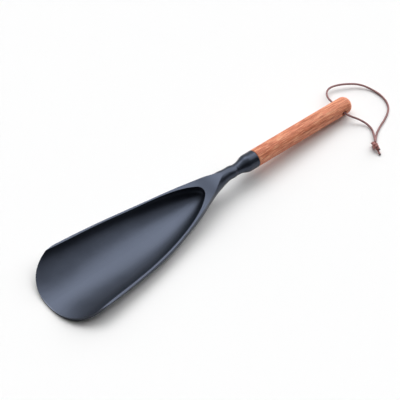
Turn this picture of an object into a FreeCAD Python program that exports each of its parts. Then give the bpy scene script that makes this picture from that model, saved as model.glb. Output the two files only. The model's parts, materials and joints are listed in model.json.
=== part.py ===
"""Long shoehorn: a cast scoop with a neck and collar, a wooden handle on a hidden stud, and a lace loop.

Frame: +X runs from the scoop's tip to the handle's free end, +Z is up, and the origin is the middle of the
object's base. The shoehorn lies as on a table: the belly of the scoop and the free end of the handle
touch z = 0. Lengths are in millimetres and angles in degrees.
"""

import FreeCAD
import Part
import math
import os

from FreeCAD import Vector

# ---- handle, collar, neck and stud ----
TOTAL_LENGTH = 308.6
HANDLE_DIAMETER = 14.6
HANDLE_LENGTH = 103.5
HANDLE_SLOPE = 4.4
HANDLE_END_ROUND = 6.0
HANDLE_SEAM_ROUND = 0.3
LACE_HOLE_DIAMETER = 4.4
LACE_HOLE_FROM_END = 11.0
LACE_HOLE_CHAMFER = 0.5
COLLAR_DIAMETER = 14.8
COLLAR_LENGTH = 7.8
COLLAR_EDGE_ROUND = 0.9
NECK_DIAMETER = 9.8
NECK_STRAIGHT = 0.9
NECK_FLARE = 10.8
FLARE_START_HANDLE = 0.42
FLARE_END_HANDLE = 0.4
STUD_DIAMETER = 5.0
STUD_IN_COLLAR = 12.0
STUD_IN_HANDLE = 24.0
STUD_CHAMFER = 0.6
STUD_END_GAP = 0.5

# ---- scoop ----
# distance from the tip, half width and height of the rim, height of the belly, fullness, bulge below the rim
TROUGH = [
    (-10, 42.0, 7.5, -0.12, 0.40, 0.0),
    (10, 38.6, 11.3, -0.12, 0.42, 0.0),
    (35, 35.1, 12.6, -0.12, 0.50, 0.2),
    (60, 32.6, 11.7, -0.12, 0.58, 2.0),
    (85, 29.1, 11.0, 0.0, 0.64, 2.4),
    (105, 25.1, 11.6, 0.6, 0.68, 2.1),
    (125, 19.9, 14.0, 2.0, 0.70, 1.7),
    (143, 14.3, 17.0, 4.6, 0.70, 1.5),
    (152, 10.9, 18.9, 6.2, 0.72, 0.9),
]
FLANK_START = 0.15
FLANK_LEAN = 0.03
# where the flat land narrows over the round neck: distance from the tip, half width, height, radius
NECK_LAND = [
    (160, 7.35, 21.2, 8.7),
    (164.5, 4.9, 22.2, 7.4),
    (168.5, 2.6, 22.85, 6.5),
    (172.5, 1.5, 22.95, 5.8),
    (178, 1.3, 22.4, 5.25),
]
NECK_END_LAND = 1.2
# distance from the tip, width of the land, height of the hollow's floor
HOLLOW = [
    (-10, 1.1, 1.5),
    (10, 1.1, 1.5),
    (35, 1.1, 1.6),
    (60, 1.2, 1.7),
    (85, 1.2, 1.9),
    (105, 1.2, 2.7),
    (125, 1.3, 4.8),
]
# the hollow's rounded nose: distance from the tip, half width, rim height, floor height, fullness
NOSE = [
    (136, 14.4, 15.8, 6.9, 0.58),
    (143, 10.7, 17.0, 8.7, 0.58),
    (147, 8.0, 17.8, 10.4, 0.60),
    (149.6, 5.8, 18.35, 12.2, 0.62),
    (151.3, 3.6, 18.75, 14.2, 0.62),
    (152.1, 1.5, 18.95, 16.4, 0.62),
]
HOLLOW_TOP = 36.0
HOLLOW_LEAN = 0.1
HOLLOW_START = 0.17
HOLLOW_FULLNESS = 0.8
ABOVE_RIM = 2.0
# half of the front edge's outline seen from above: control points (distance from the tip, half width)
PLAN_HALF = [(0, 0), (0, 19.8), (17.4, 36.3), (38, 35.0), (72, 34.0), (90, 34.0)]
PLAN_MULTIPLICITIES = [4, 1, 1, 4]
PLAN_BACK = 40.0
PLAN_HEIGHT = 60.0

# ---- lace: route points of each leg, chosen by hand ----
LACE_DIAMETER = 1.7
LACE_FLOOR = 0.95
FRONT_CLEAR_OF_HANDLE = 2.4
REAR_CLEAR_OF_HANDLE = 4.6
FRONT_ROUTE = [
    (150.4, -17.2, 4.2),
    (154.3, -26.9, 1.1),
    (150.6, -35.4, 1.3),
    (144.6, -42.8, 3.0),
]
REAR_ROUTE = [
    (147.0, 19.0, 5.2),
    (152.7, 23.5, 4.1),
    (159.2, 22.9, 4.0),
    (167.6, 18.5, 4.3),
    (178.0, 11.2, 3.0),
    (183.4, 0.6, 1.1),
    (184.7, -11.2, LACE_FLOOR),
    (180.6, -22.2, LACE_FLOOR),
    (170.4, -28.6, LACE_FLOOR),
    (158.8, -32.8, 1.1),
    (150.5, -37.3, 1.5),
    (144.2, -43.4, 2.6),
]
KNOT_DIAMETER = 5.8
KNOT_END_DIAMETER = 4.2
KNOT_START = (142.2, -42.6, 3.1)
KNOT_END = (141.0, -49.0, 3.0)
LONG_TAIL_ROUTE = [
    (141.4, -47.6, 2.2),
    (140.8, -49.8, 1.7),
    (140.3, -51.9, 1.05),
    (139.6, -54.0, LACE_FLOOR),
]
SHORT_TAIL_ROUTE = [
    (142.2, -47.2, 3.9),
    (141.8, -49.2, 3.8),
    (141.2, -51.2, 3.3),
]
LACE_BEND = 0.45

# ---- places worked out from them ----
TIP_X = -TOTAL_LENGTH / 2
SLOPE = math.radians(HANDLE_SLOPE)
HANDLE_RADIUS = HANDLE_DIAMETER / 2
NECK_RADIUS = NECK_DIAMETER / 2
END_FLAT = HANDLE_RADIUS - HANDLE_END_ROUND
END_AXIS_Z = END_FLAT * math.cos(SLOPE) + HANDLE_END_ROUND * (1 - math.sin(SLOPE))
END_X = TOTAL_LENGTH / 2 - END_FLAT * math.sin(SLOPE)
AXIS_DIRECTION = Vector(math.cos(SLOPE), 0, -math.sin(SLOPE))
FLARE_BACK = HANDLE_LENGTH + COLLAR_LENGTH
NECK_BACK = FLARE_BACK + NECK_FLARE + NECK_STRAIGHT


# ---- helpers ----
def on_axis(back, up=0.0, side=0.0):
    """Point at a distance back from the handle's free end, off its sloping axis."""
    return Vector(
        END_X - back * math.cos(SLOPE) + up * math.sin(SLOPE),
        side,
        END_AXIS_Z + back * math.sin(SLOPE) + up * math.cos(SLOPE),
    )


def bezier(points):
    """Bezier edge through control points."""
    curve = Part.BezierCurve()
    curve.setPoles(points)
    return curve.toShape()


def arc(points):
    """Circular arc through a start, a middle and an end."""
    return Part.Arc(*points).toShape()


def mirror(points):
    """The same points on the other side of the mid-plane."""
    return [Vector(p.x, -p.y, p.z) for p in points]


def turned(profile):
    """Solid of revolution of a closed half profile about the handle's axis."""
    face = Part.Face(Part.Wire(profile))
    return face.revolve(on_axis(0), AXIS_DIRECTION, 360)


def outline(points):
    """Straight edges from point to point."""
    return [Part.makeLine(a, b) for a, b in zip(points, points[1:])]


def quarter_round(back, up, towards_back, radius):
    """Rounded edge of a turned piece: starts on the side and ends on the end face."""
    middle = radius * (1 - math.sqrt(0.5))
    sign = 1 if towards_back else -1
    return arc([
        on_axis(back - sign * radius, up),
        on_axis(back - sign * middle, up - middle),
        on_axis(back, up - radius),
    ])


# ---- shoehorn casting ----
def ring(crown, flank, place, edge=bezier):
    """Closed section: a crown edge over the top and one flank edge down each side to the keel."""
    left = [(-y, z) for y, z in reversed(flank)]
    edges = [
        edge([place(y, z) for y, z in crown]),
        edge([place(y, z) for y, z in flank]),
        edge([place(y, z) for y, z in left]),
    ]
    return Part.Wire(edges)


def flat_crown(half_width, height):
    """Control points straight across the top."""
    return [(share * half_width, height) for share in (-1, -1 / 3, 1 / 3, 1)]


def trough_ring(distance, half_width, rim, belly, fullness, bulge):
    """Flat-topped section of the scoop's outer shape."""
    depth = rim - belly
    widest = half_width + bulge
    flank = [
        (half_width, rim),
        (widest - FLANK_LEAN * depth, rim - (FLANK_START + fullness) * depth),
        (fullness * widest, belly),
        (0, belly),
    ]
    crown = flat_crown(half_width, rim)
    return ring(crown, flank, lambda y, z: Vector(TIP_X + distance, y, z))


def land_ring(distance, half_width, height, radius):
    """Round section with its top cut off flat, where the land narrows over the neck."""
    corner = math.asin(half_width / radius)
    centre = height - radius * math.cos(corner)
    handle = 4 / 3 * math.tan((math.pi - corner) / 4) * radius
    flank = [
        (half_width, height),
        (half_width + handle * math.cos(corner), height - handle * math.sin(corner)),
        (handle, centre - radius),
        (0, centre - radius),
    ]
    crown = flat_crown(half_width, height)
    return ring(crown, flank, lambda y, z: Vector(TIP_X + distance, y, z))


def round_ring(back):
    """Round section square to the handle's axis, in the same three edges as a flat-topped one."""
    corner = math.asin(NECK_END_LAND / NECK_RADIUS)
    beside = (math.pi + corner) / 2

    def on_circle(angle):
        return NECK_RADIUS * math.sin(angle), NECK_RADIUS * math.cos(angle)

    crown = [on_circle(-corner), (0, NECK_RADIUS), on_circle(corner)]
    flank = [on_circle(corner), on_circle(beside), (0, -NECK_RADIUS)]
    return ring(crown, flank, lambda y, z: on_axis(back, z, y), arc)


def outer_body():
    """Scoop, land and neck as one smooth loft, still square at the tip."""
    rings = [trough_ring(*row) for row in TROUGH]
    rings.extend(land_ring(*row) for row in NECK_LAND)
    rings.append(round_ring(NECK_BACK + 2 * NECK_STRAIGHT))
    rings.append(round_ring(NECK_BACK))
    return Part.makeLoft(rings, True, False, False, 3)


def hollow_ring(distance, half_width, rim, floor, fullness):
    """Section of the hollow, carried up above the rim so that it cuts the scoop open."""
    depth = rim + ABOVE_RIM - floor
    corner = Vector(TIP_X + distance, half_width + HOLLOW_LEAN * ABOVE_RIM, rim + ABOVE_RIM)
    top = Vector(corner.x, corner.y + HOLLOW_LEAN * (HOLLOW_TOP - corner.z), HOLLOW_TOP)
    flank = [
        corner,
        Vector(corner.x, corner.y - HOLLOW_LEAN * depth, corner.z - (HOLLOW_START + fullness) * depth),
        Vector(corner.x, fullness * half_width, floor),
        Vector(corner.x, 0, floor),
    ]
    edges = [
        *outline([top, *mirror([top, corner])]),
        bezier(mirror(flank)),
        bezier(list(reversed(flank))),
        *outline([corner, top]),
    ]
    return Part.Wire(edges)


def hollow():
    """The scoop's hollow as one smooth loft, from beyond the tip to its rounded nose."""
    rims = {row[0]: row for row in TROUGH}
    rings = []
    for distance, land, floor in HOLLOW:
        _, half_width, rim, _, fullness, _ = rims[distance]
        rings.append(hollow_ring(distance, half_width - land, rim, floor, HOLLOW_FULLNESS * fullness))
    rings.extend(hollow_ring(*row) for row in NOSE)
    return Part.makeLoft(rings, True, False, False, 3)


def plan_prism():
    """Everything inside the scoop's rounded front edge, seen from above, and over the flat of its belly."""
    right = [Vector(TIP_X + x, y, 0) for x, y in PLAN_HALF]
    edges = []
    for poles in (right, mirror(right)):
        curve = Part.BSplineCurve()
        knots = list(range(len(PLAN_MULTIPLICITIES)))
        curve.buildFromPolesMultsKnots(poles, PLAN_MULTIPLICITIES, knots, False, 3)
        edges.append(curve.toShape())
    back = Vector(PLAN_BACK, right[-1].y, 0)
    edges.extend(outline([right[-1], back, *mirror([back, right[-1]])]))
    face = Part.Face(Part.Wire(Part.__sortEdges__(edges)))
    return face.extrude(Vector(0, 0, PLAN_HEIGHT))


def collar():
    """Flared collar with a rounded edge and a blind hole for the stud."""
    radius = COLLAR_DIAMETER / 2
    bore = STUD_DIAMETER / 2
    neck_end = FLARE_BACK + NECK_FLARE
    hole_end = HANDLE_LENGTH + STUD_IN_COLLAR + STUD_END_GAP
    flare = bezier([
        on_axis(neck_end, NECK_RADIUS),
        on_axis(neck_end - FLARE_START_HANDLE * NECK_FLARE, NECK_RADIUS),
        on_axis(FLARE_BACK + FLARE_END_HANDLE * NECK_FLARE, radius),
        on_axis(FLARE_BACK, radius),
    ])
    rounded = quarter_round(HANDLE_LENGTH, radius, False, COLLAR_EDGE_ROUND)
    edges = [
        *outline([on_axis(NECK_BACK), on_axis(NECK_BACK, NECK_RADIUS), on_axis(neck_end, NECK_RADIUS)]),
        flare,
        *outline([on_axis(FLARE_BACK, radius), on_axis(HANDLE_LENGTH + COLLAR_EDGE_ROUND, radius)]),
        rounded,
        *outline([
            on_axis(HANDLE_LENGTH, radius - COLLAR_EDGE_ROUND),
            on_axis(HANDLE_LENGTH, bore),
            on_axis(hole_end, bore),
            on_axis(hole_end),
            on_axis(NECK_BACK),
        ]),
    ]
    return turned(edges)


def shoehorn_casting():
    """Scoop, neck and collar in one piece."""
    scoop = outer_body().cut(hollow())
    scoop = scoop.common(plan_prism())
    return scoop.fuse(collar()).removeSplitter()


# ---- handle and stud ----
def wood_handle():
    """Round bar with a domed free end, a blind hole for the stud and a cross hole for the lace."""
    radius = HANDLE_RADIUS
    bore = STUD_DIAMETER / 2
    hole_end = HANDLE_LENGTH - STUD_IN_HANDLE - STUD_END_GAP
    edges = [
        *outline([on_axis(0), on_axis(0, END_FLAT)]),
        quarter_round(0, radius, False, HANDLE_END_ROUND),
        *outline([
            on_axis(HANDLE_END_ROUND, radius),
            on_axis(HANDLE_LENGTH - HANDLE_SEAM_ROUND, radius),
            on_axis(HANDLE_LENGTH, radius - HANDLE_SEAM_ROUND),
            on_axis(HANDLE_LENGTH, bore),
            on_axis(hole_end, bore),
            on_axis(hole_end),
            on_axis(0),
        ]),
    ]
    bar = turned(edges)
    hole_radius = LACE_HOLE_DIAMETER / 2
    centre = on_axis(LACE_HOLE_FROM_END)
    across = Vector(0, 1, 0)
    hole = Part.makeCylinder(hole_radius, 4 * radius, centre - across * 2 * radius, across)
    bar = bar.cut(hole)
    mouth = math.sqrt(radius**2 - hole_radius**2) - LACE_HOLE_CHAMFER
    for way in (across, across * -1):
        cone = Part.makeCone(hole_radius, hole_radius + radius, radius, centre + way * mouth, way)
        bar = bar.cut(cone)
    return bar


def joining_stud():
    """Plain stud that stands for the threaded one, with a chamfer at each end."""
    start = HANDLE_LENGTH + STUD_IN_COLLAR
    length = STUD_IN_COLLAR + STUD_IN_HANDLE
    stud = Part.makeCylinder(STUD_DIAMETER / 2, length, on_axis(start), AXIS_DIRECTION)
    ends = [edge for edge in stud.Edges if edge.Curve.TypeId == "Part::GeomCircle"]
    return stud.makeChamfer(STUD_CHAMFER, ends)


# ---- lace ----
def tube(route, name):
    """Round lace along straight runs joined by tangent arcs; prints each arc's radius."""
    points = [Vector(*p) for p in route]
    runs = [(b - a).Length for a, b in zip(points, points[1:])]
    edges = []
    start = points[0]
    for index in range(1, len(points) - 1):
        before, here, after = points[index - 1:index + 2]
        way_in = (here - before).normalize()
        way_out = (after - here).normalize()
        turn = way_in.getAngle(way_out)
        cut_back = LACE_BEND * min(runs[index - 1], runs[index])
        radius = cut_back / math.tan(turn / 2)
        arc_start = here - way_in * cut_back
        arc_end = here + way_out * cut_back
        inward = (way_out - way_in).normalize()
        arc_middle = here + inward * (radius / math.cos(turn / 2) - radius)
        edges.append(Part.makeLine(start, arc_start))
        edges.append(arc([arc_start, arc_middle, arc_end]))
        print(name, "arc", index, "turn", round(math.degrees(turn)), "radius", round(radius, 1))
        start = arc_end
    edges.append(Part.makeLine(start, points[-1]))
    path = Part.Wire(edges)
    section = Part.Wire(Part.makeCircle(LACE_DIAMETER / 2, points[0], points[1] - points[0]))
    solid = path.makePipeShell([section], True, True)
    plain_volume = math.pi * LACE_DIAMETER**2 / 4 * path.Length
    print(name, "length", round(path.Length, 1), "volume ratio", round(solid.Volume / plain_volume, 4))
    return solid


def lace_leg(side, clear, route, name):
    """One leg, from the middle of the cross hole out to the knot; side is +1 or -1 along Y."""
    middle = on_axis(LACE_HOLE_FROM_END)
    outside = middle + Vector(0, side * (HANDLE_RADIUS + clear), 0)
    return tube([middle, outside] + route, name)


def lace_knot():
    """Outer shape of the overhand knot: a short barrel."""
    start = Vector(*KNOT_START)
    end = Vector(*KNOT_END)
    along = (end - start).normalize()
    out = along.cross(Vector(0, 0, 1)).normalize()
    shoulder = out * KNOT_END_DIAMETER / 2
    bulge = arc([start + shoulder, (start + end) / 2 + out * KNOT_DIAMETER / 2, end + shoulder])
    edges = [bulge, *outline([end + shoulder, end, start, start + shoulder])]
    return Part.Face(Part.Wire(edges)).revolve(start, along, 360)


def main():
    """Build every piece, write it out and print what was made."""
    os.makedirs("parts", exist_ok=True)
    nodes = {
        "shoehorn_casting": shoehorn_casting(),
        "wood_handle": wood_handle(),
        "joining_stud": joining_stud(),
        "lace_front_leg": lace_leg(-1, FRONT_CLEAR_OF_HANDLE, FRONT_ROUTE, "front leg"),
        "lace_rear_leg": lace_leg(1, REAR_CLEAR_OF_HANDLE, REAR_ROUTE, "rear leg"),
        "lace_knot": lace_knot(),
        "lace_long_tail": tube(LONG_TAIL_ROUTE, "long tail"),
        "lace_short_tail": tube(SHORT_TAIL_ROUTE, "short tail"),
    }
    for name, shape in nodes.items():
        box = shape.BoundBox
        low = [round(v, 2) for v in (box.XMin, box.YMin, box.ZMin)]
        high = [round(v, 2) for v in (box.XMax, box.YMax, box.ZMax)]
        print(name, len(shape.Solids), shape.isValid(), round(shape.Volume, 1), low, high)
        shape.exportStep(f"parts/{name}.step")


main()
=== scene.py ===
"""The long shoehorn's looks: camera, floor and light, the lace and its knot, and every surface's material.

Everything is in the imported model's own frame, in metres, except the lace's routes, its height on the floor
and its clearance from the handle. Those repeat the design's numbers, in millimetres.
"""

import json
import math

import bpy
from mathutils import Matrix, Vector


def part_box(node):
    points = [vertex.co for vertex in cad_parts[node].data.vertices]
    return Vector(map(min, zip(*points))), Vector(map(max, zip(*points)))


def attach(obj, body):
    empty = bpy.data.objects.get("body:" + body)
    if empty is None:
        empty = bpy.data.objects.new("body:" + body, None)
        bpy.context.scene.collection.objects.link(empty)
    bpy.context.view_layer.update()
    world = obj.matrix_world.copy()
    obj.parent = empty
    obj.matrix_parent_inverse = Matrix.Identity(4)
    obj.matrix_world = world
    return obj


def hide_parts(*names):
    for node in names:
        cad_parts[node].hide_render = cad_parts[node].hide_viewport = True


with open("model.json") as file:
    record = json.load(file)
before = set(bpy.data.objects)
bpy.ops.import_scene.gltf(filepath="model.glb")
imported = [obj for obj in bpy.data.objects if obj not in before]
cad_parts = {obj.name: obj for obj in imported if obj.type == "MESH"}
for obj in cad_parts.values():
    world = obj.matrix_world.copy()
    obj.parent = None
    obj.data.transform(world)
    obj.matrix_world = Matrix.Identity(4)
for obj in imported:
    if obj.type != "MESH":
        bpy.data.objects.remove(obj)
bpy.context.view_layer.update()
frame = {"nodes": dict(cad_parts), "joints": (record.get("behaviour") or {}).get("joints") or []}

MM = 0.001
HANDLE_SLOPE = math.radians(4.4)
LACE_DIAMETER = 1.7 * MM
LACE_FLOOR = 0.95
HOLE_CENTRE = Vector(frame["joints"][0]["pos_m"])
HANDLE_RADIUS = (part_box("wood_handle")[1].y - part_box("wood_handle")[0].y) / 2
FRONT_CLEAR_OF_HANDLE = 2.4
REAR_CLEAR_OF_HANDLE = 4.6
FRONT_ROUTE = [
    (150.4, -17.2, 4.2),
    (154.3, -26.9, 1.1),
    (150.6, -35.4, 1.3),
    (144.6, -42.8, 3.0),
]
REAR_ROUTE = [
    (147.0, 19.0, 5.2),
    (152.7, 23.5, 4.1),
    (159.2, 22.9, 4.0),
    (167.6, 18.5, 4.3),
    (178.0, 11.2, 3.0),
    (183.4, 0.6, 1.1),
    (184.7, -11.2, LACE_FLOOR),
    (180.6, -22.2, LACE_FLOOR),
    (170.4, -28.6, LACE_FLOOR),
    (158.8, -32.8, 1.1),
    (150.5, -37.3, 1.5),
    (144.2, -43.4, 2.6),
]
KNOT_START = Vector((142.2, -42.6, 3.1)) * MM
KNOT_END = Vector((141.0, -49.0, 3.0)) * MM
LONG_TAIL_ROUTE = [
    (141.4, -47.6, 2.2),
    (140.8, -49.8, 1.7),
    (140.3, -51.9, 1.05),
    (139.6, -54.0, LACE_FLOOR),
]
SHORT_TAIL_ROUTE = [
    (142.2, -47.2, 3.9),
    (141.8, -49.2, 3.8),
    (141.2, -51.2, 3.3),
]
KNOT_TURNS = 2.15
KNOT_WRAP_POINTS = 31
KNOT_WRAP_RADIUS = 1.95 * MM
KNOT_WRAP_INNER = 0.9 * MM
KNOT_WRAP_SLANT = 0.75 * MM
KNOT_WRAP_FIRST = math.radians(200)
KNOT_WRAP_HIGH = math.radians(35)
KNOT_WRAP_FROM, KNOT_WRAP_TO = 0.2, 0.8
KNOT_TUCK = 0.2
KNOT_THICKNESS = 1.08
STRAND_SIDE_START = 0.8 * MM
STRAND_SIDE_END = 0.7 * MM
STRAND_LEAD = 0.8 * MM
CUT_DARK_WITHIN, CUT_PALE_BEYOND = 0.9 * MM, 1.25 * MM
THREAD_PITCH = 0.8 * MM
TIP_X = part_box("shoehorn_casting")[0].x
WORN_EDGE = 1.2 * MM

VIEW_AZIMUTH, VIEW_ELEVATION, VIEW_DISTANCE = math.radians(40), math.radians(52.5), 1.2
VIEW_MIDDLE = Vector((0.0007, 0, 0.010))
VIEW_LEFT, VIEW_DOWN = 0.00461, 0.00472
LENS = 137.2
# name, direction towards the light, width in degrees and strength: three strips in a row, one past the handle
SOFT_LIGHTS = [
    ("strip_softbox", (0.39, 0.49, 0.84), 36, 0.42),
    ("strip_softbox", (0.2, 0.53, 0.84), 36, 0.50),
    ("strip_softbox", (0.0, 0.63, 0.84), 36, 0.36),
    ("end_softbox", (0.85, 0.05, 0.5), 60, 1.9),
]
SKY_MIDDLE = Vector((0.3, 0.45, 0.84)).normalized()


# ---- camera, light and floor ----
def link(name, data):
    """A new object in the scene."""
    obj = bpy.data.objects.new(name, data)
    bpy.context.scene.collection.objects.link(obj)
    obj.rotation_mode = "QUATERNION"
    return obj


def camera():
    """A long lens looking down from beyond the tip, on the side where the lace lies."""
    right = Vector((math.cos(VIEW_AZIMUTH), -math.sin(VIEW_AZIMUTH), 0))
    look = Vector((
        math.sin(VIEW_AZIMUTH) * math.cos(VIEW_ELEVATION),
        math.cos(VIEW_AZIMUTH) * math.cos(VIEW_ELEVATION),
        -math.sin(VIEW_ELEVATION),
    ))
    up = right.cross(look)
    eye = VIEW_MIDDLE - look * VIEW_DISTANCE
    target = VIEW_MIDDLE - right * VIEW_LEFT - up * VIEW_DOWN
    data = bpy.data.cameras.new("camera")
    data.lens = LENS
    data.sensor_width = 36
    data.clip_start = 0.05
    obj = link("camera", data)
    obj.location = eye
    obj.rotation_quaternion = (target - eye).to_track_quat("-Z", "Y")
    bpy.context.scene.camera = obj


def soft_light(name, towards, spread, strength):
    """A broad, even light from one direction: spread is its width in degrees as the object sees it."""
    data = bpy.data.lights.new(name, "SUN")
    data.angle = math.radians(spread)
    data.energy = strength
    obj = link(name, data)
    obj.rotation_quaternion = Vector(towards).to_track_quat("Z", "Y")


def map_range(nodes, from_low, from_high, to_low, to_high, smooth=False):
    """A node that maps one range of values to another, and holds them inside it."""
    node = nodes.new("ShaderNodeMapRange")
    if smooth:
        node.interpolation_type = "SMOOTHSTEP"
    ends = {"From Min": from_low, "From Max": from_high, "To Min": to_low, "To Max": to_high}
    for key, value in ends.items():
        node.inputs[key].default_value = value
    return node


def sky():
    """Surroundings brightest towards SKY_MIDDLE, nearly black away from it, and bright at the horizon."""
    world = bpy.data.worlds.new("surroundings")
    bpy.context.scene.world = world
    world.use_nodes = True
    nodes, links = world.node_tree.nodes, world.node_tree.links
    place = nodes.new("ShaderNodeTexCoord")
    nearness = nodes.new("ShaderNodeVectorMath")
    nearness.operation = "DOT_PRODUCT"
    nearness.inputs[1].default_value = SKY_MIDDLE
    overhead = map_range(nodes, 0.4, 0.95, 0.01, 0.97, smooth=True)
    height = nodes.new("ShaderNodeSeparateXYZ")
    haze = map_range(nodes, 0.02, 0.12, 0.9, 0.0)
    brighter = nodes.new("ShaderNodeMath")
    brighter.operation = "MAXIMUM"
    links.new(place.outputs["Generated"], nearness.inputs[0])
    links.new(nearness.outputs["Value"], overhead.inputs["Value"])
    links.new(place.outputs["Generated"], height.inputs[0])
    links.new(height.outputs["Z"], haze.inputs["Value"])
    links.new(overhead.outputs["Result"], brighter.inputs[0])
    links.new(haze.outputs["Result"], brighter.inputs[1])
    links.new(brighter.outputs[0], nodes["Background"].inputs["Strength"])
    nodes["Background"].inputs["Color"].default_value = (1, 1, 1, 1)


def floor():
    """Plain pale floor."""
    bpy.ops.mesh.primitive_plane_add(size=8)
    obj = bpy.context.object
    obj.name = "floor"
    material, shader, _ = finish("floor_white")
    shader.inputs["Base Color"].default_value = (0.92, 0.92, 0.92, 1)
    shader.inputs["Roughness"].default_value = 0.9
    shader.inputs["Specular IOR Level"].default_value = 0.0
    obj.data.materials.append(material)


# ---- node helpers ----
def finish(name):
    """A new material, its main shader and a helper that adds nodes to it."""
    material = bpy.data.materials.new(name)
    material.use_nodes = True
    tree = material.node_tree

    def add(kind, *sources, **settings):
        """Add a node; sources feed its inputs in turn, as sockets, values or None."""
        node = tree.nodes.new("ShaderNode" + kind)
        for key, value in settings.items():
            setattr(node, key, value)
        for socket, source in zip(node.inputs, sources):
            if isinstance(source, bpy.types.NodeSocket):
                tree.links.new(source, socket)
            elif source is not None:
                socket.default_value = source
        return node

    return material, tree.nodes["Principled BSDF"], add


def join(source, target):
    """Link one socket to another."""
    target.id_data.links.new(source, target)


def stretched(add, turn, scale):
    """Coordinates in metres, turned about Y and scaled along each axis."""
    place = add("TexCoord").outputs["Object"]
    turned = add("Mapping", place)
    turned.inputs["Rotation"].default_value = (0, turn, 0)
    scaled = add("Mapping", turned.outputs["Vector"])
    scaled.inputs["Scale"].default_value = scale
    return scaled.outputs["Vector"]


def noise(add, coordinates, scale=1.0, detail=4.0, roughness=0.55):
    """Noise value between 0 and 1."""
    node = add("TexNoise", coordinates)
    node.inputs["Scale"].default_value = scale
    node.inputs["Detail"].default_value = detail
    node.inputs["Roughness"].default_value = roughness
    return node.outputs["Fac"]


def ramp(add, value, stops):
    """Colour ramp through (position, colour) stops."""
    node = add("ValToRGB", value)
    elements = node.color_ramp.elements
    while len(elements) < len(stops):
        elements.new(0.5)
    for element, (position, colour) in zip(elements, stops):
        element.position = position
        element.color = (*colour, 1)
    return node.outputs["Color"]


def span(add, value, low, high, to_low, to_high):
    """Value mapped from one range to another, and held inside it."""
    node = add("MapRange", value, low, high, to_low, to_high)
    return node.outputs["Result"]


def blend_colours(add, factor, first, second):
    """Mix two colours by a factor."""
    node = add("Mix", data_type="RGBA")
    for socket, source in ((node.inputs[0], factor), (node.inputs[6], first), (node.inputs[7], second)):
        if isinstance(source, bpy.types.NodeSocket):
            join(source, socket)
        else:
            socket.default_value = (*source, 1)
    return node.outputs[2]


def relief(add, height, depth, strength=1.0, below=None):
    """Bump of a depth in metres, on top of another bump where one is given."""
    node = add("Bump")
    node.inputs["Distance"].default_value = depth
    node.inputs["Strength"].default_value = strength
    join(height, node.inputs["Height"])
    if below is not None:
        join(below, node.inputs["Normal"])
    return node.outputs["Normal"]


# ---- materials ----
def coated_metal():
    """Satin slate-blue coat: fine orange peel, faint scuffs along the scoop, a paler worn front edge."""
    material, shader, add = finish("slate_blue_coat")
    plain = stretched(add, 0, (1, 1, 1))
    along = stretched(add, 0, (30, 900, 500))
    peel = noise(add, plain, 1400, 3)
    cloud = noise(add, plain, 55, 4)
    scuffs = span(add, noise(add, along, 1, 5, 0.6), 0.60, 0.72, 0, 1)
    base = ramp(add, cloud, [(0.3, (0.034, 0.042, 0.062)), (0.7, (0.040, 0.049, 0.071))])
    tip = add("SeparateXYZ", plain).outputs["X"]
    worn = span(add, tip, TIP_X + WORN_EDGE, TIP_X, 0, 1)
    patchy = add("Math", worn, noise(add, plain, 260, 3), operation="MULTIPLY").outputs[0]
    colour = blend_colours(add, span(add, scuffs, 0, 1, 0, 0.12), base, (0.09, 0.1, 0.13))
    colour = blend_colours(add, patchy, colour, (0.13, 0.14, 0.17))
    join(colour, shader.inputs["Base Color"])
    satin = span(add, cloud, 0.3, 0.7, 0.28, 0.34)
    rough = add("Math", satin, span(add, scuffs, 0, 1, 0, 0.05), operation="ADD")
    join(rough.outputs[0], shader.inputs["Roughness"])
    shader.inputs["Metallic"].default_value = 0.75
    bump = relief(add, peel, 0.00002, 0.5)
    bump = relief(add, scuffs, 0.00001, 0.3, bump)
    join(bump, shader.inputs["Normal"])
    return material


def reddish_wood():
    """Oiled reddish wood along the handle's slope: slow changes of tone, fibres, streaks and dark pores."""
    material, shader, add = finish("reddish_wood")
    broad = noise(add, stretched(add, -HANDLE_SLOPE, (16, 160, 160)), 1, 4, 0.5)
    fibres = noise(add, stretched(add, -HANDLE_SLOPE, (75, 950, 950)), 1, 6, 0.65)
    streaks = noise(add, stretched(add, -HANDLE_SLOPE, (130, 1300, 1300)), 1, 3, 0.5)
    pores = noise(add, stretched(add, -HANDLE_SLOPE, (130, 2200, 2200)), 1, 2, 0.5)
    dark_streaks = span(add, streaks, 0.45, 0.37, 0, 0.4)
    pale_streaks = span(add, streaks, 0.55, 0.64, 0, 0.5)
    pits = span(add, pores, 0.60, 0.68, 0, 1)
    tone = add("Math", broad, fibres, operation="ADD").outputs[0]
    colour = ramp(add, span(add, tone, 0.78, 1.22, 0, 1), [
        (0.0, (0.43, 0.124, 0.062)),
        (0.35, (0.60, 0.191, 0.100)),
        (0.65, (0.70, 0.248, 0.138)),
        (1.0, (0.80, 0.365, 0.212)),
    ])
    colour = blend_colours(add, dark_streaks, colour, (0.30, 0.085, 0.040))
    colour = blend_colours(add, pale_streaks, colour, (0.92, 0.54, 0.32))
    colour = blend_colours(add, span(add, pits, 0, 1, 0, 0.45), colour, (0.22, 0.06, 0.035))
    shader.inputs["Specular IOR Level"].default_value = 0.3
    join(colour, shader.inputs["Base Color"])
    join(span(add, fibres, 0.3, 0.7, 0.5, 0.62), shader.inputs["Roughness"])
    bump = relief(add, fibres, 0.00006, 0.6)
    pitted = add("Math", 1.0, pits, operation="SUBTRACT").outputs[0]
    bump = relief(add, pitted, 0.00008, 0.5, bump)
    join(bump, shader.inputs["Normal"])
    return material


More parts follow.
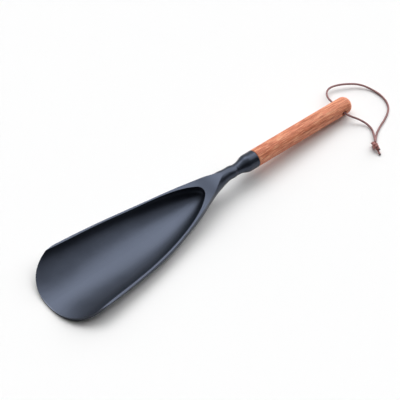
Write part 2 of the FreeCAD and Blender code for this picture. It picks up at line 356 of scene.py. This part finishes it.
def threaded_steel():
    """Bare steel with a thread's ridges along the stud and fine brushing round it."""
    material, shader, add = finish("threaded_steel")
    axis = add("SeparateXYZ", stretched(add, -HANDLE_SLOPE, (1, 1, 1))).outputs["X"]
    pitch = add("Math", axis, 2 * math.pi / THREAD_PITCH, operation="MULTIPLY").outputs[0]
    ridges = add("Math", pitch, operation="SINE").outputs[0]
    brushing = noise(add, stretched(add, -HANDLE_SLOPE, (6000, 300, 300)), 1, 3)
    colour = ramp(add, brushing, [(0.3, (0.42, 0.42, 0.43)), (0.7, (0.62, 0.62, 0.63))])
    join(colour, shader.inputs["Base Color"])
    shader.inputs["Metallic"].default_value = 1.0
    join(span(add, brushing, 0.3, 0.7, 0.28, 0.4), shader.inputs["Roughness"])
    join(relief(add, ridges, 0.0003), shader.inputs["Normal"])
    return material


def leather(name, dark, light, cuts=()):
    """Round leather lace: fine grain, worn paler on its high spots, and darker where it was cut."""
    material, shader, add = finish(name)
    plain = stretched(add, 0, (1, 1, 1))
    patches = noise(add, plain, 320, 4)
    grain = add("TexVoronoi", plain, feature="DISTANCE_TO_EDGE")
    grain.inputs["Scale"].default_value = 2600
    creases = span(add, grain.outputs["Distance"], 0, 0.12, 0, 1)
    colour = ramp(add, patches, [(0.3, dark), (0.7, light)])
    colour = blend_colours(add, span(add, creases, 0, 1, 0.3, 0), colour, tuple(0.4 * c for c in dark))
    for cut in cuts:
        away = add("VectorMath", plain, tuple(cut), operation="DISTANCE").outputs["Value"]
        near = span(add, away, CUT_DARK_WITHIN, CUT_PALE_BEYOND, 1, 0)
        colour = blend_colours(add, near, colour, (0.035, 0.015, 0.015))
    join(colour, shader.inputs["Base Color"])
    join(span(add, patches, 0.3, 0.7, 0.5, 0.66), shader.inputs["Roughness"])
    bump = relief(add, creases, 0.00005, 0.6)
    join(relief(add, patches, 0.00010, 0.4, bump), shader.inputs["Normal"])
    return material


# ---- lace ----
def lace_curve(name, material, splines, thickness=1.0):
    """Smooth round lace along control points, in metres; thickness is a share of the lace's own."""
    data = bpy.data.curves.new(name, "CURVE")
    data.dimensions = "3D"
    for points in splines:
        spline = data.splines.new("NURBS")
        spline.points.add(len(points) - 1)
        for point, place in zip(spline.points, points):
            point.co = (*place, 1)
        spline.order_u = 3
        spline.use_endpoint_u = True
        spline.resolution_u = 12
    data.bevel_depth = thickness * LACE_DIAMETER / 2
    data.bevel_resolution = 6
    data.use_fill_caps = True
    data.materials.append(material)
    return link(name, data)


def in_metres(route):
    """Route points given in millimetres."""
    return [Vector(p) * MM for p in route]


def leg_points(side, clear, route):
    """Control points of one leg, from the middle of the cross hole to the knot."""
    outside = HOLE_CENTRE + Vector((0, side * (HANDLE_RADIUS + clear * MM), 0))
    return [HOLE_CENTRE, outside] + in_metres(route)


def knot_axes():
    """The knot's own directions: along it, out to its side, and over it."""
    along = (KNOT_END - KNOT_START).normalized()
    out = along.cross(Vector((0, 0, 1))).normalized()
    return along, out, out.cross(along)


def knot_wrap():
    """The strand that wraps the knot: a slanting coil, tucked in towards the axis at both ends."""
    along, out, over = knot_axes()
    length = (KNOT_END - KNOT_START).length
    points = []
    for step in range(KNOT_WRAP_POINTS):
        share = step / (KNOT_WRAP_POINTS - 1)
        angle = KNOT_WRAP_FIRST + 2 * math.pi * KNOT_TURNS * share
        tuck = min(1.0, share / KNOT_TUCK, (1 - share) / KNOT_TUCK)
        radius = KNOT_WRAP_INNER + (KNOT_WRAP_RADIUS - KNOT_WRAP_INNER) * tuck
        slant = KNOT_WRAP_SLANT * math.cos(angle - KNOT_WRAP_HIGH) * tuck
        down = length * (KNOT_WRAP_FROM + (KNOT_WRAP_TO - KNOT_WRAP_FROM) * share) + slant
        around = out * math.cos(angle) + over * math.sin(angle)
        points.append(KNOT_START + along * down + around * radius)
    return points


def core_strand(side):
    """One of the two strands that run through the knot and cross inside it."""
    along, out, _ = knot_axes()
    start = KNOT_START + out * side * STRAND_SIDE_START - along * STRAND_LEAD
    end = KNOT_END - out * side * STRAND_SIDE_END
    return [start, (start + end) / 2, end]


camera()
mauve = leather("mauve_leather", (0.24, 0.108, 0.108), (0.38, 0.19, 0.185))
knot_mauve = leather("mauve_leather_knot", (0.30, 0.115, 0.105), (0.50, 0.215, 0.195))
cut_ends = [in_metres(route)[-1] for route in (LONG_TAIL_ROUTE, SHORT_TAIL_ROUTE)]
tail_mauve = leather("mauve_leather_tails", (0.28, 0.11, 0.10), (0.46, 0.20, 0.185), cut_ends)

front = lace_curve("lace_front", mauve, [leg_points(-1, FRONT_CLEAR_OF_HANDLE, FRONT_ROUTE)])
rear = lace_curve("lace_rear", mauve, [leg_points(1, REAR_CLEAR_OF_HANDLE, REAR_ROUTE)])
knot = lace_curve("overhand_knot", knot_mauve, [knot_wrap(), core_strand(1), core_strand(-1)], KNOT_THICKNESS)
tails = lace_curve("cut_tails", tail_mauve, [in_metres(LONG_TAIL_ROUTE), in_metres(SHORT_TAIL_ROUTE)])

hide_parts("lace_front_leg")
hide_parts("lace_rear_leg")
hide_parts("lace_knot")
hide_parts("lace_long_tail", "lace_short_tail")
for piece in (front, rear, knot, tails):
    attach(piece, "hang_loop")

for node, material in (
    ("shoehorn_casting", coated_metal()),
    ("wood_handle", reddish_wood()),
    ("joining_stud", threaded_steel()),
):
    frame["nodes"][node].data.materials.clear()
    frame["nodes"][node].data.materials.append(material)

floor()
sky()
for light in SOFT_LIGHTS:
    soft_light(*light)
bpy.context.scene.view_settings.view_transform = "Standard"
